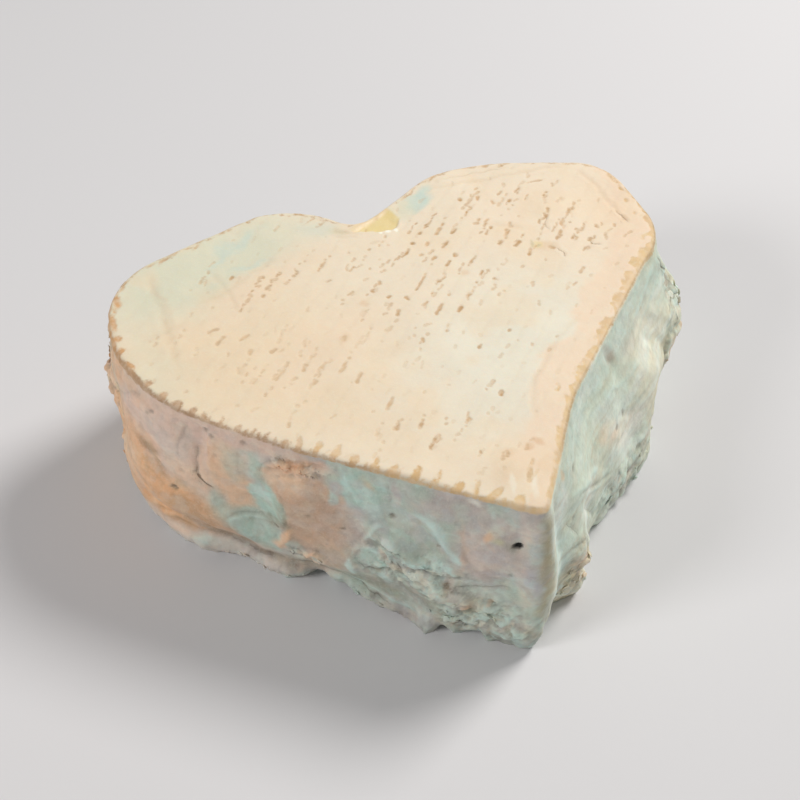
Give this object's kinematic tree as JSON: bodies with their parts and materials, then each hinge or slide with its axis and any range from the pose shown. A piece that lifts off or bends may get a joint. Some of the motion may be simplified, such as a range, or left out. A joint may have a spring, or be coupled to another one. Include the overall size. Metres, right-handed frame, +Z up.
{
  "type": "heart-shaped soft cheese",
  "caption": "Whole heart-shaped soft cheese with a white mould rind, flat top and foot, slumped and wrinkled sides, and rows of small brown dashes from the mat it ripened on.",
  "frame": {"origin": "on the flat resting face, under the middle of the top rim's bounding box", "axes": "+Z up out of the flat top, -Y towards the point of the heart, +Y towards the cleft, +X across the lobes to the slumped side"},
  "size_m": [0.1447, 0.1187, 0.0491],
  "materials": {
    "rind": "dull, velvety mould rind, ivory on top, mint, lavender grey and tan down the sides"
  },
  "bodies": {
    "root": {"cheese_heart": "rind"}
  },
  "joints": []
}
